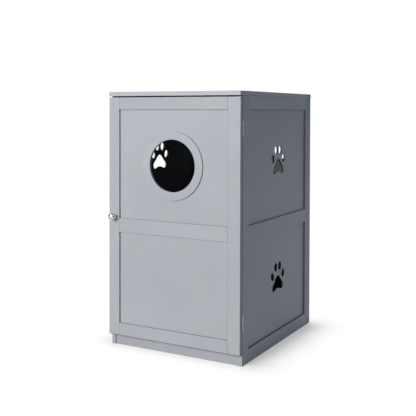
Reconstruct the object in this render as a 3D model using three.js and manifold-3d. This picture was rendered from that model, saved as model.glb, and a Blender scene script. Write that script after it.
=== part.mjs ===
// Two-storey cat litter box cabinet: framed side panels with paw-print cut-outs, a framed front
// door with a round cat entrance, a shelf with a passage, a vented back, a plinth and a top board.
// Millimetres. X runs to the right, Y from the door to the back, Z up. Everything is worked out in
// the cabinet's own frame (X = 0 mid-width, Y = 0 the door's front face, Z = 0 the floor), and the
// finished group is moved so that its origin is the middle of its footprint on the floor.

import * as THREE from 'three';
import { mergeVertices } from 'three/addons/utils/BufferGeometryUtils.js';
import Module from 'manifold-3d';

const wasm = await Module();
wasm.setup();

// ---------------------------------------------------------------- driving dimensions

// Clearances
const fitGap = 0.3;           // between two wooden pieces that touch
const glueLine = 0.2;         // between a rail's shoulder and its stile
const plateGap = 0.1;         // between a steel plate or screw and its seat
const runningGap = 0.1;       // between the hinge pin and its bore, on the radius
const overcut = 2;            // how far a cutting tool runs past the face it cuts

// Cabinet
const cabinetWidth = 520;     // over the outer faces of the side panels
const sideDepth = 597;        // a side panel's front edge to its back edge
const sideHeight = 885.2;     // floor to a side panel's top edge
const sideThickness = 15;
const topThickness = 15;
const topFrontOverhang = 0.5; // past the door's front face
const topSideOverhang = 0.5;
const topBackOverhang = 2.5;
const shelfThickness = 15;
const shelfHousing = 4;       // how deep the shelf's ends sit in the side panels
const midHeight = 431.25;     // floor to the middle of the shelf and of every middle rail
const bottomThickness = 15;
const bottomHeight = 40;      // floor to the underside of the bottom board
const plinthThickness = 15;
const plinthSetback = 4;      // behind the front edges of the side panels
const cleatSize = 15;         // square section of the battens under the bottom board
const backThickness = 5;
const backInset = 8;          // back edge of a side panel to the back panel's rear face
const backHousing = 6;        // depth of the groove that holds the back panel

// Frame and panel construction
const infillThickness = 5;
const recess = 6;             // outer face of a frame to the outer face of its infill
const shadowGap = 1.5;        // open line between the front lip of a groove and the infill
const grooveDepth = 8;

// Side frames
const sideFrontStile = 45;
const sideBackStile = 50;
const sideTopRail = 45;
const sideMidRail = 48;
const sideBottomRail = 46.7;

// Door
const doorThickness = 15;
const doorGap = 2;            // back of the door to the front edges of the side panels
const doorTopGap = 4.5;       // door's top edge to the top board's underside
const doorBottomDrop = 0.5;   // door's bottom edge below the bottom board's underside
const doorKnobStile = 43;
const doorHingeStile = 46.5;
const doorTopRail = 42;
const doorMidRail = 49;
const doorBottomRail = 44.5;

// Cat entrance in the door
const entranceDiameter = 179;
const entranceAboveMiddle = 0; // middle of the upper infill to the middle of the entrance
const ringWidth = 29;
const ringSetback = 1.4;      // door's front face to the ring's front face

// Paw-print cut-outs in the side panels
const pawBehindMiddle = 1;    // middle of a side panel's depth to the middle of each paw
const pawAboveMiddle = 14.2;  // middle of an infill's opening to the middle of its paw
const innerToe = { width: 25.5, height: 31, out: 17.5, up: 33.5, tilt: 4 };
const outerToe = { width: 24, height: 31, out: 46, up: 3, tilt: 28 };
const pad = { top: 1.5, width: 92, height: 53.5, notch: 7.5 };

// The right half of the pad from its peak to its lobe. Each curve has two handles and an end, as
// shares of half the pad's width and of its height. A last curve runs on to the notch.
const padCurves = [
  [[0.3, 0], [0.48, -0.24], [0.61, -0.34]],
  [[0.78, -0.48], [1, -0.59], [1, -0.72]],
  [[1, -0.9], [0.91, -1], [0.74, -1]],
];
const notchHandles = { lobe: 0.48, middle: 0.3 };

// Passage in the shelf and vents in the back panel
const passageWidth = 190;
const passageDepth = 280;
const passageCorner = 45;
const passageFromSide = 35;   // passage to the inner face of the right side panel
const passageFromBack = 90;   // passage to the back panel
const ventDiameter = 108;
const ventSpread = 300;       // between the middles of the two vents
const ventBelowTop = 185.2;   // top edge of the side panels to the middle of the vents

// Knob
const knobHeight = 460;
const knobDiameter = 25;
const knobProjection = 24.5;
const knobBaseDiameter = 16;
const knobNeckDiameter = 10;
const knobBoreDepth = 10;
const knobScrewDiameter = 4;
const knobScrewHead = { diameter: 8, height: 2.2 };
const knobScrewRoom = 2;      // tip of the screw to the end of the knob's bore

// Hinges
const hingeFromEnd = { lower: 105, upper: 104.5 }; // end of the door to the hinge's middle
const hingeLength = 55;
const knuckleRadius = 2.8;
const pinRadius = 1.25;
const axisOutset = 1;         // hinge axis outside the side panel's outer face
const leafThickness = 0.8;
const leafWidth = 14.5;       // from the axis to the leaf's free edge
const middleKnuckle = 20;
const knuckleNotch = 0.4;     // room round the knuckle in the wood
const notchEndRoom = 2;       // room above and below the knuckle
const leafScrewSpacing = 34;
const leafScrewFromEdge = 5;
const leafScrew = { diameter: 3, length: 11, headDiameter: 5.2, headHeight: 0.45 };

// Magnetic catch on the shelf, and its strike plate on the door
const catchFromSide = 55;     // middle of the catch to the inner face of the left side panel
const catchBody = { width: 30, depth: 14, height: 12 };
const catchEar = { length: 9, thickness: 3 };
const magnet = { width: 22, height: 7.5, depth: 9 };
const strike = { width: 32, height: 11, thickness: 1 };
const catchScrew = { diameter: 3, length: 14, headDiameter: 5.6, headHeight: 1.8 };
const strikeScrew = { diameter: 3, length: 9, headDiameter: 5.2, headHeight: 0.45 };

// Cam fittings that hold the top board
const camDiameter = 15;
const camWall = 2.5;          // wood left between a cam and the panel's outer face
const camBelowTop = 34;       // top edge of the side panel to the middle of the cam
const camFromEdge = 22;       // front or back edge of the side panel to the cam bolt
const camBoltDiameter = 7;
const camThread = { diameter: 5, length: 10 };
const camCross = { length: 8.5, width: 1.4, depth: 1.5 };

// Facets
const holeSegments = 72;
const toeSegments = 20;
const curveSegments = 5;      // steps in each curve of the pad and each corner of the passage
const barrelSegments = 20;
const screwSegments = 12;
const knobSegments = 28;

// ---------------------------------------------------------------- derived places

const sideFront = doorThickness + doorGap;
const sideBack = sideFront + sideDepth;
const innerHalfWidth = cabinetWidth / 2 - sideThickness;
const topUnderside = sideHeight + fitGap;
const topUpperFace = topUnderside + topThickness;
const topHalfWidth = cabinetWidth / 2 + topSideOverhang;
const doorTop = topUnderside - doorTopGap;
const doorBottom = bottomHeight - doorBottomDrop;
const entranceHeight = entranceAboveMiddle
  + (midHeight + doorMidRail / 2 + doorTop - doorTopRail) / 2;
const ringDiameter = entranceDiameter + 2 * ringWidth;
const ringThickness = recess - fitGap - ringSetback;
const pawFromFront = sideDepth / 2 + pawBehindMiddle;
const lowerPawHeight = pawAboveMiddle + (sideBottomRail + midHeight - sideMidRail / 2) / 2;
const upperPawHeight = pawAboveMiddle
  + (midHeight + sideMidRail / 2 + sideHeight - sideTopRail) / 2;
const ventHeight = sideHeight - ventBelowTop;
const backPanelRear = sideBack - backInset;
const backPanelFront = backPanelRear - backThickness;
const boardRearEdge = backPanelFront - fitGap;
const shelfUnderside = midHeight - shelfThickness / 2;
const shelfUpperFace = midHeight + shelfThickness / 2;
const hingeAxisX = cabinetWidth / 2 + axisOutset;
const hingeAxisY = doorThickness + doorGap / 2;
const hingeHeights = {
  lower: doorBottom + hingeFromEnd.lower,
  upper: doorTop - hingeFromEnd.upper,
};
const grooveFront = recess - shadowGap;
const grooveBack = recess + infillThickness + fitGap;
const tongueLength = grooveDepth - fitGap;
const leafHoles = [-leafScrewSpacing / 2, leafScrewSpacing / 2];
const leafScrewX = hingeAxisX - leafWidth + leafScrewFromEdge;
const leafScrewDepth = leafScrew.headHeight + leafScrew.length - leafThickness - plateGap;
const strikeScrewDepth = strikeScrew.headHeight + strikeScrew.length - strike.thickness - plateGap;
const catchScrewDepth = catchScrew.length - catchEar.thickness - plateGap - fitGap;
const knobX = (doorKnobStile - cabinetWidth) / 2;
const knobScrewReach = knobBoreDepth - knobScrewRoom;
const catchX = catchFromSide - innerHalfWidth;
const catchFront = sideFront + fitGap;
const catchBase = shelfUpperFace + fitGap;
const catchMiddleZ = catchBase + catchBody.height / 2;
const strikeBack = doorThickness + plateGap + strike.thickness;
const camZ = sideHeight - camBelowTop;
const camDepth = sideThickness - camWall;

// ---------------------------------------------------------------- materials

const paint = new THREE.MeshStandardMaterial({ color: 0xb4b8bd, roughness: 0.5, metalness: 0 });
const nickel = new THREE.MeshStandardMaterial({ color: 0xd6d2c8, roughness: 0.2, metalness: 1 });
const steel = new THREE.MeshStandardMaterial({ color: 0xaaaaa8, roughness: 0.4, metalness: 1 });
const plastic = new THREE.MeshStandardMaterial({ color: 0xe4e4e0, roughness: 0.45, metalness: 0 });

// ---------------------------------------------------------------- solids

// A closed three.js geometry as a solid that can be joined and cut.
function toSolid(geometry) {
  const bare = geometry.clone();
  bare.deleteAttribute('normal');
  bare.deleteAttribute('uv');
  const merged = mergeVertices(bare, 1e-5);
  const vertProperties = new Float32Array(merged.attributes.position.array);
  const triVerts = new Uint32Array(merged.index.array);
  return new wasm.Manifold(new wasm.Mesh({ numProp: 3, vertProperties, triVerts }));
}

function toGeometry(solid) {
  const { numProp, vertProperties, triVerts } = solid.getMesh();
  const geometry = new THREE.BufferGeometry();
  geometry.setAttribute('position', new THREE.BufferAttribute(vertProperties.slice(), numProp));
  geometry.setIndex(new THREE.BufferAttribute(triVerts.slice(), 1));
  geometry.computeVertexNormals();
  return geometry;
}

// A box between two corners.
function board(x0, x1, y0, y1, z0, z1) {
  const geometry = new THREE.BoxGeometry(x1 - x0, y1 - y0, z1 - z0);
  geometry.translate((x0 + x1) / 2, (y0 + y1) / 2, (z0 + z1) / 2);
  return toSolid(geometry);
}

// A round bar whose end stands at `start` and which runs `length` along 'x', 'y' or 'z'.
function bar(radius, length, along, start, segments = screwSegments) {
  const geometry = new THREE.CylinderGeometry(radius, radius, Math.abs(length), segments);
  geometry.translate(0, length / 2, 0);
  if (along === 'x') geometry.rotateZ(-Math.PI / 2);
  if (along === 'z') geometry.rotateX(Math.PI / 2);
  geometry.translate(...start);
  return toSolid(geometry);
}

// An outline drawn in X and Z, with its holes, as a sheet from `front` to `front + thickness`.
function sheet(outline, front, thickness) {
  const geometry = new THREE.ExtrudeGeometry(outline, {
    depth: thickness, bevelEnabled: false, curveSegments,
  });
  geometry.rotateX(Math.PI / 2);
  geometry.translate(0, front + thickness, 0);
  return toSolid(geometry);
}

// A screw with a flat head. The head's outer face is at `start`, and it runs along +Y or -Y.
function screwAlongY(screw, start, direction) {
  const [x, y, z] = start;
  const headEnd = y + direction * screw.headHeight;
  return bar(screw.headDiameter / 2, direction * screw.headHeight, 'y', start)
    .add(bar(screw.diameter / 2, direction * screw.length, 'y', [x, headEnd, z]));
}

// The hole for a screw's shank, from the wood's face at `mouth` to just past the screw's tip, which
// lies `depth` deep; `along` and `sign` give the way that it runs.
function pilotHole(screw, mouth, along, sign, depth) {
  const start = [...mouth];
  start['xyz'.indexOf(along)] -= sign * overcut;
  return bar(screw.diameter / 2 + plateGap, sign * (overcut + depth + fitGap), along, start);
}

function cutAll(solid, cutters) {
  return cutters.reduce((rest, cutter) => rest.subtract(cutter), solid);
}

// ---------------------------------------------------------------- outlines in X and Z

function rectangle(x0, x1, z0, z1) {
  const shape = new THREE.Shape();
  shape.moveTo(x0, z0);
  shape.lineTo(x1, z0);
  shape.lineTo(x1, z1);
  shape.lineTo(x0, z1);
  shape.closePath();
  return shape;
}

function roundHole(x, z, diameter) {
  const hole = new THREE.Path();
  const points = [];
  for (let i = 0; i < holeSegments; i += 1) {
    const angle = (2 * Math.PI * i) / holeSegments;
    points.push(new THREE.Vector2(x, z).add(
      new THREE.Vector2(Math.cos(angle), Math.sin(angle)).multiplyScalar(diameter / 2)));
  }
  hole.setFromPoints(points);
  return hole;
}

// A toe: an upright ellipse that leans outwards by its tilt.
function toeHole(x, z, toe, side) {
  const points = [];
  const lean = THREE.MathUtils.degToRad(-side * toe.tilt);
  for (let i = 0; i < toeSegments; i += 1) {
    const angle = (2 * Math.PI * i) / toeSegments;
    const across = (toe.width / 2) * Math.cos(angle);
    const up = (toe.height / 2) * Math.sin(angle);
    points.push(new THREE.Vector2(across, up).rotateAround(new THREE.Vector2(), lean)
      .add(new THREE.Vector2(x + side * toe.out, z + toe.up)));
  }
  return new THREE.Path(points);
}

// The pad: a rounded peak that widens into two lobes with a notch between them.
function padHole(x, z) {
  const at = ([across, up]) => [across * (pad.width / 2), pad.top + up * pad.height];
  const notch = pad.notch / pad.height - 1;
  const toNotch = [[notchHandles.lobe, -1], [notchHandles.middle, notch], [0, notch]];
  const half = new THREE.Path();
  half.moveTo(...at([0, 0]));
  for (const curve of [...padCurves, toNotch]) half.bezierCurveTo(...curve.flatMap(at));
  const right = half.getPoints(curveSegments);
  const left = right.slice(1, -1).reverse().map((point) => new THREE.Vector2(-point.x, point.y));
  const middle = new THREE.Vector2(x, z);
  return new THREE.Path([...right, ...left].map((point) => point.clone().add(middle)));
}

function pawHoles(x, z) {
  const toes = [-1, 1].flatMap((side) => [
    toeHole(x, z, innerToe, side), toeHole(x, z, outerToe, side)]);
  return [...toes, padHole(x, z)];
}

// ---------------------------------------------------------------- frame and panel

// A frame as seen from outside, X to the right from its left edge, Y from its outer face inwards.
// Stiles run the full height; rails have stub tenons in the stiles' grooves; the two infills sit
// in grooves all round.
function framedPanel(frame) {
  const { width, thickness, bottom, top, leftStile, rightStile } = frame;
  const midBottom = midHeight - frame.midRail / 2;
  const midTop = midHeight + frame.midRail / 2;
  const left = leftStile;
  const right = width - rightStile;
  const cutY = [grooveFront, grooveBack];
  const stileGroove = (x0, x1) => board(x0, x1, ...cutY, bottom - overcut, top + overcut);

  const rail = (z0, z1, grooveBelow, grooveAbove) => {
    const tenonY = [grooveFront + fitGap, grooveBack - fitGap];
    let solid = board(left + glueLine, right - glueLine, 0, thickness, z0, z1)
      .add(board(left - tongueLength, right + tongueLength, ...tenonY, z0, z1));
    const ends = [left - grooveDepth - overcut, right + grooveDepth + overcut];
    if (grooveBelow) solid = solid.subtract(board(...ends, ...cutY, z0 - overcut, z0 + grooveDepth));
    if (grooveAbove) solid = solid.subtract(board(...ends, ...cutY, z1 - grooveDepth, z1 + overcut));
    return solid;
  };

  const infill = (z0, z1, holes) => {
    const shape = rectangle(left - tongueLength, right + tongueLength,
      z0 - tongueLength, z1 + tongueLength);
    shape.holes.push(...holes);
    return sheet(shape, recess, infillThickness);
  };

  return {
    left_stile: board(0, left, 0, thickness, bottom, top)
      .subtract(stileGroove(left - grooveDepth, left + overcut)),
    right_stile: board(right, width, 0, thickness, bottom, top)
      .subtract(stileGroove(right - overcut, right + grooveDepth)),
    top_rail: rail(top - frame.topRail, top, true, false),
    mid_rail: rail(midBottom, midTop, true, true),
    bottom_rail: rail(bottom, bottom + frame.bottomRail, false, true),
    upper_infill: infill(midTop, top - frame.topRail, frame.upperHoles),
    lower_infill: infill(bottom + frame.bottomRail, midBottom, frame.lowerHoles),
  };
}

// ---------------------------------------------------------------- the scene graph

const cabinet = new THREE.Group();

function addPiece(name, solid, material, parent = cabinet) {
  const mesh = new THREE.Mesh(toGeometry(solid), material);
  mesh.name = name;
  parent.add(mesh);
}

// A knuckle's room in the wood, round an upright axis at (x, y).
function knuckleRoom(x, y, middle) {
  const length = hingeLength + 2 * notchEndRoom;
  return bar(knuckleRadius + knuckleNotch, length, 'z', [x, y, middle - length / 2],
    barrelSegments);
}

// ---- side panels -------------------------------------------------------------------------

// The right panel as seen from outside has its front edge on the left; the left panel mirrors it.
function sidePanel(side) {
  const isRight = side === 'right';
  const fromFront = (distance) => (isRight ? distance : sideDepth - distance);
  const span = (a, b) => [fromFront(a), fromFront(b)].sort((p, q) => p - q);
  const pieces = framedPanel({
    width: sideDepth,
    thickness: sideThickness,
    bottom: 0,
    top: sideHeight,
    leftStile: isRight ? sideFrontStile : sideBackStile,
    rightStile: isRight ? sideBackStile : sideFrontStile,
    topRail: sideTopRail,
    midRail: sideMidRail,
    bottomRail: sideBottomRail,
    upperHoles: pawHoles(fromFront(pawFromFront), upperPawHeight),
    lowerHoles: pawHoles(fromFront(pawFromFront), lowerPawHeight),
  });
  const stiles = isRight
    ? { front_stile: pieces.left_stile, back_stile: pieces.right_stile }
    : { front_stile: pieces.right_stile, back_stile: pieces.left_stile };

  const shelfEnd = boardRearEdge + fitGap - sideFront;
  const shelfCut = board(...span(-overcut, shelfEnd),
    sideThickness - shelfHousing, sideThickness + overcut,
    shelfUnderside - fitGap, shelfUpperFace + fitGap);
  const backCut = board(...span(sideDepth - backInset - backThickness - fitGap,
    sideDepth - backInset + fitGap),
    sideThickness - backHousing, sideThickness + overcut,
    bottomHeight - fitGap, sideHeight + overcut);

  const camPlaces = { front: camFromEdge, back: sideDepth - camFromEdge };
  const camRoom = (place) => {
    const x = fromFront(camPlaces[place]);
    const inner = [x, sideThickness + overcut, camZ];
    return bar(camDiameter / 2 + fitGap, -(camDepth + fitGap + overcut), 'y', inner, barrelSegments)
      .add(bar(camBoltDiameter / 2 + fitGap, camBelowTop + overcut, 'z',
        [x, sideThickness / 2, camZ]));
  };

  const frontCutters = [shelfCut, camRoom('front')];
  if (isRight) {
    for (const middle of Object.values(hingeHeights)) {
      frontCutters.push(knuckleRoom(hingeAxisY - sideFront, -axisOutset, middle));
      for (const offset of leafHoles) {
        frontCutters.push(pilotHole(leafScrew,
          [0, cabinetWidth / 2 - leafScrewX, middle + offset], 'x', 1, leafScrewDepth));
      }
    }
  }
  const group = new THREE.Group();
  const finished = {
    front_stile: cutAll(stiles.front_stile, frontCutters),
    back_stile: cutAll(stiles.back_stile, [shelfCut, backCut, camRoom('back')]),
    top_rail: pieces.top_rail,
    mid_rail: pieces.mid_rail.subtract(shelfCut),
    bottom_rail: pieces.bottom_rail,
    upper_infill: pieces.upper_infill,
    lower_infill: pieces.lower_infill,
  };
  for (const [name, solid] of Object.entries(finished)) {
    addPiece(`${side}_${name}`, solid, paint, group);
  }
  for (const place of ['front', 'back']) {
    addCamFitting(`${side}_${place}`, fromFront(camPlaces[place]), group);
  }
  group.rotation.z = isRight ? Math.PI / 2 : -Math.PI / 2;
  group.position.set((isRight ? 1 : -1) * (cabinetWidth / 2), isRight ? sideFront : sideBack, 0);
  cabinet.add(group);
}

// A cam in the panel's inner face, and the bolt that it pulls down from the top board.
function addCamFitting(name, x, group) {
  const boltRadius = camBoltDiameter / 2;
  const boltEnd = camZ - boltRadius;
  const boltTop = topUnderside - plateGap;
  const boltRoom = bar(boltRadius + fitGap, camDiameter, 'z', [x, sideThickness / 2,
    boltEnd - fitGap]);
  const crossBar = (width, height) => board(x - width / 2, x + width / 2,
    sideThickness - camCross.depth, sideThickness + overcut, camZ - height / 2, camZ + height / 2);
  const disc = bar(camDiameter / 2, -camDepth, 'y', [x, sideThickness, camZ], barrelSegments);
  const cam = cutAll(disc, [
    boltRoom, crossBar(camCross.length, camCross.width), crossBar(camCross.width, camCross.length)]);
  addPiece(`${name}_cam`, cam, steel, group);
  const bolt = bar(boltRadius, boltTop - boltEnd, 'z', [x, sideThickness / 2, boltEnd])
    .add(bar(camThread.diameter / 2, camThread.length, 'z', [x, sideThickness / 2, boltTop]));
  addPiece(`${name}_cam_bolt`, bolt, steel, group);
}

// ---- boards ------------------------------------------------------------------------------

function addBoards() {
  const camHoles = [];
  for (const x of [-1, 1].map((side) => side * (cabinetWidth / 2 - sideThickness / 2))) {
    for (const y of [sideFront + camFromEdge, sideBack - camFromEdge]) {
      camHoles.push(bar(camThread.diameter / 2 + plateGap, camThread.length + fitGap + overcut, 'z',
        [x, y, topUnderside - overcut]));
    }
  }
  const top = board(-topHalfWidth, topHalfWidth, -topFrontOverhang, sideBack + topBackOverhang,
    topUnderside, topUpperFace);
  addPiece('top_board', cutAll(top, camHoles), paint);

  const between = innerHalfWidth - fitGap;
  addPiece('bottom_board', board(-between, between, sideFront, boardRearEdge,
    bottomHeight, bottomHeight + bottomThickness), paint);
  const plinthFront = sideFront + plinthSetback;
  const plinthRear = plinthFront + plinthThickness;
  addPiece('plinth_board', board(-between, between, plinthFront, plinthRear,
    0, bottomHeight - fitGap), paint);
  for (const [name, side] of [['left', -1], ['right', 1]]) {
    const ends = [side * between, side * (between - cleatSize)].sort((a, b) => a - b);
    addPiece(`${name}_cleat`, board(...ends, plinthRear + fitGap, boardRearEdge,
      bottomHeight - fitGap - cleatSize, bottomHeight - fitGap), paint);
  }
  addShelf();
  addBackPanel();
}

function addShelf() {
  const halfLength = innerHalfWidth + shelfHousing - fitGap;
  const right = innerHalfWidth - passageFromSide;
  const rear = boardRearEdge - passageFromBack;
  const [x0, x1, y0, y1] = [right - passageWidth, right, rear - passageDepth, rear];
  const r = passageCorner;
  const hole = new THREE.Path();
  hole.moveTo(x0 + r, y0);
  hole.absarc(x1 - r, y0 + r, r, -Math.PI / 2, 0, false);
  hole.absarc(x1 - r, y1 - r, r, 0, Math.PI / 2, false);
  hole.absarc(x0 + r, y1 - r, r, Math.PI / 2, Math.PI, false);
  hole.absarc(x0 + r, y0 + r, r, Math.PI, 1.5 * Math.PI, false);
  const outline = rectangle(-halfLength, halfLength, sideFront, boardRearEdge);
  outline.holes.push(hole);
  const geometry = new THREE.ExtrudeGeometry(outline, {
    depth: shelfThickness, bevelEnabled: false, curveSegments,
  });
  geometry.translate(0, 0, shelfUnderside);
  const pilots = catchScrewPlaces().map(([x, y]) => pilotHole(catchScrew,
    [x, y, shelfUpperFace], 'z', -1, catchScrewDepth));
  addPiece('mid_shelf', cutAll(toSolid(geometry), pilots), paint);
}

function addBackPanel() {
  const halfWidth = innerHalfWidth + backHousing - fitGap;
  const outline = rectangle(-halfWidth, halfWidth, bottomHeight, sideHeight);
  outline.holes.push(roundHole(-ventSpread / 2, ventHeight, ventDiameter));
  outline.holes.push(roundHole(ventSpread / 2, ventHeight, ventDiameter));
  addPiece('back_panel', sheet(outline, backPanelFront, backThickness), paint);
}

// ---- door --------------------------------------------------------------------------------

function addDoor() {
  const door = new THREE.Group();
  const left = -cabinetWidth / 2;
  const pieces = framedPanel({
    width: cabinetWidth,
    thickness: doorThickness,
    bottom: doorBottom,
    top: doorTop,
    leftStile: doorKnobStile,
    rightStile: doorHingeStile,
    topRail: doorTopRail,
    midRail: doorMidRail,
    bottomRail: doorBottomRail,
    upperHoles: [roundHole(cabinetWidth / 2, entranceHeight, entranceDiameter)],
    lowerHoles: [],
  });
  const hingeCutters = [];
  for (const middle of Object.values(hingeHeights)) {
    hingeCutters.push(knuckleRoom(hingeAxisX - left, hingeAxisY, middle));
    for (const offset of leafHoles) {
      hingeCutters.push(pilotHole(leafScrew,
        [leafScrewX - left, doorThickness, middle + offset], 'y', -1, leafScrewDepth));
    }
  }
  const knobHole = bar(knobScrewDiameter / 2 + plateGap, doorThickness + 2 * overcut, 'y',
    [knobX - left, -overcut, knobHeight]);
  const strikeHole = pilotHole(strikeScrew,
    [catchX - left, doorThickness, catchMiddleZ], 'y', -1, strikeScrewDepth);
  const finished = {
    door_knob_stile: pieces.left_stile.subtract(knobHole),
    door_hinge_stile: cutAll(pieces.right_stile, hingeCutters),
    door_top_rail: pieces.top_rail,
    door_mid_rail: pieces.mid_rail.subtract(strikeHole),
    door_bottom_rail: pieces.bottom_rail,
    door_upper_infill: pieces.upper_infill,
    door_lower_infill: pieces.lower_infill,
  };
  for (const [name, solid] of Object.entries(finished)) {
    addPiece(name, solid, paint, door);
  }
  door.position.x = left;
  cabinet.add(door);

  const ring = new THREE.Shape();
  ring.setFromPoints(roundHole(0, entranceHeight, ringDiameter).getPoints());
  ring.holes.push(roundHole(0, entranceHeight, entranceDiameter));
  addPiece('entrance_ring', sheet(ring, ringSetback, ringThickness), paint);
}

// A mushroom knob turned about its own axis, with a blind bore for its screw.
function addKnob() {
  const bore = knobScrewDiameter / 2 + plateGap;
  const base = knobBaseDiameter / 2;
  const neck = knobNeckDiameter / 2;
  const head = knobDiameter / 2;
  const profile = [
    [0, knobBoreDepth], [bore, knobBoreDepth], [bore, 0], [base, 0], [base, 1.6],
    [base * 0.85, 2.6], [neck, 5], [neck, 8.5],
  ];
  // The head is a flattened ball that ends on the axis at the full projection.
  const headMiddle = knobProjection - 0.62 * head;
  const startAngle = -Math.PI / 3.2;
  const steps = 9;
  for (let i = 0; i <= steps; i += 1) {
    const angle = startAngle + ((Math.PI / 2 - startAngle) * i) / steps;
    const radius = i === steps ? 0 : head * Math.cos(angle);
    profile.push([radius, headMiddle + 0.62 * head * Math.sin(angle)]);
  }
  const points = profile.map(([radius, out]) => new THREE.Vector2(radius, out));
  const geometry = new THREE.LatheGeometry(points, knobSegments);
  geometry.rotateX(Math.PI);
  geometry.translate(knobX, -plateGap, knobHeight);
  addPiece('door_knob', toSolid(flipIfInside(geometry)), nickel);

  const screw = { ...knobScrewHead };
  const headStart = doorThickness + plateGap + screw.height;
  addPiece('knob_screw',
    bar(screw.diameter / 2, -screw.height, 'y', [knobX, headStart, knobHeight])
      .add(bar(knobScrewDiameter / 2, -(screw.height + doorThickness + knobScrewReach), 'y',
        [knobX, headStart, knobHeight])), steel);
}

// A turned profile's faces point out or in with the way that it runs; this makes them point out.
function flipIfInside(geometry) {
  const { array } = geometry.attributes.position;
  const { index } = geometry;
  let volume = 0;
  const corner = (i) => new THREE.Vector3().fromArray(array, index.getX(i) * 3);
  for (let i = 0; i < index.count; i += 3) {
    volume += corner(i).dot(corner(i + 1).cross(corner(i + 2)));
  }
  if (volume < 0) {
    for (let i = 0; i < index.count; i += 3) {
      const second = index.getX(i + 1);
      index.setX(i + 1, index.getX(i + 2));
      index.setX(i + 2, second);
    }
  }
  return geometry;
}

// ---- hinges ------------------------------------------------------------------------------

// A butt hinge: the frame leaf has the outer knuckles, the door leaf the middle one.
function addHinge(name, middle) {
  const low = middle - hingeLength / 2;
  const high = middle + hingeLength / 2;
  const midLow = middle - middleKnuckle / 2;
  const midHigh = middle + middleKnuckle / 2;
  const axis = (z) => [hingeAxisX, hingeAxisY, z];
  const barrel = (z0, z1, extra = 0) => bar(knuckleRadius + extra, z1 - z0, 'z', axis(z0),
    barrelSegments);
  const pinBore = bar(pinRadius + runningGap, hingeLength + 2 * overcut, 'z', axis(low - overcut),
    barrelSegments);
  const freeEdge = hingeAxisX - leafWidth;

  // Each leaf is a plate from its free edge to the axis, rolled round the pin.
  const frameFace = sideFront - plateGap;
  const framePlate = board(freeEdge, hingeAxisX, frameFace - leafThickness, frameFace, low, high);
  const frameLeaf = cutAll(
    framePlate.subtract(barrel(midLow - fitGap, midHigh + fitGap, fitGap))
      .add(barrel(low, midLow - fitGap / 2)).add(barrel(midHigh + fitGap / 2, high)), [pinBore]);

  const doorFace = doorThickness + plateGap;
  const doorPlate = board(freeEdge, hingeAxisX, doorFace, doorFace + leafThickness, low, high);
  const doorLeaf = cutAll(doorPlate, [
    barrel(low - overcut, midLow + fitGap / 2, fitGap),
    barrel(midHigh - fitGap / 2, high + overcut, fitGap),
  ]).add(barrel(midLow + fitGap / 2, midHigh - fitGap / 2)).subtract(pinBore);

  const leaves = [
    ['frame', frameLeaf, frameFace - leafThickness, 1],
    ['door', doorLeaf, doorFace + leafThickness, -1],
  ];
  const headSeat = leafScrew.headHeight + plateGap / 2;
  for (const [part, blank, outerFace, direction] of leaves) {
    const cutters = leafHoles.flatMap((offset) => [
      bar(leafScrew.headDiameter / 2 + plateGap, direction * (headSeat + overcut), 'y',
        [leafScrewX, outerFace - direction * overcut, middle + offset]),
      bar(leafScrew.diameter / 2 + plateGap, direction * (leafThickness + 2 * overcut), 'y',
        [leafScrewX, outerFace - direction * overcut, middle + offset]),
    ]);
    addPiece(`${name}_hinge_${part}_leaf`, cutAll(blank, cutters), steel);
    for (const [place, offset] of [['lower', leafHoles[0]], ['upper', leafHoles[1]]]) {
      addPiece(`${name}_hinge_${part}_${place}_screw`, screwAlongY(leafScrew,
        [leafScrewX, outerFace, middle + offset], direction), steel);
    }
  }
  addPiece(`${name}_hinge_pin`, bar(pinRadius, hingeLength, 'z', axis(low),
    barrelSegments), steel);
}

// ---- magnetic catch ----------------------------------------------------------------------

function catchScrewPlaces() {
  const out = catchBody.width / 2 + catchEar.length / 2;
  return [-1, 1].map((side) => [catchX + side * out, catchFront + catchBody.depth / 2]);
}

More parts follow.
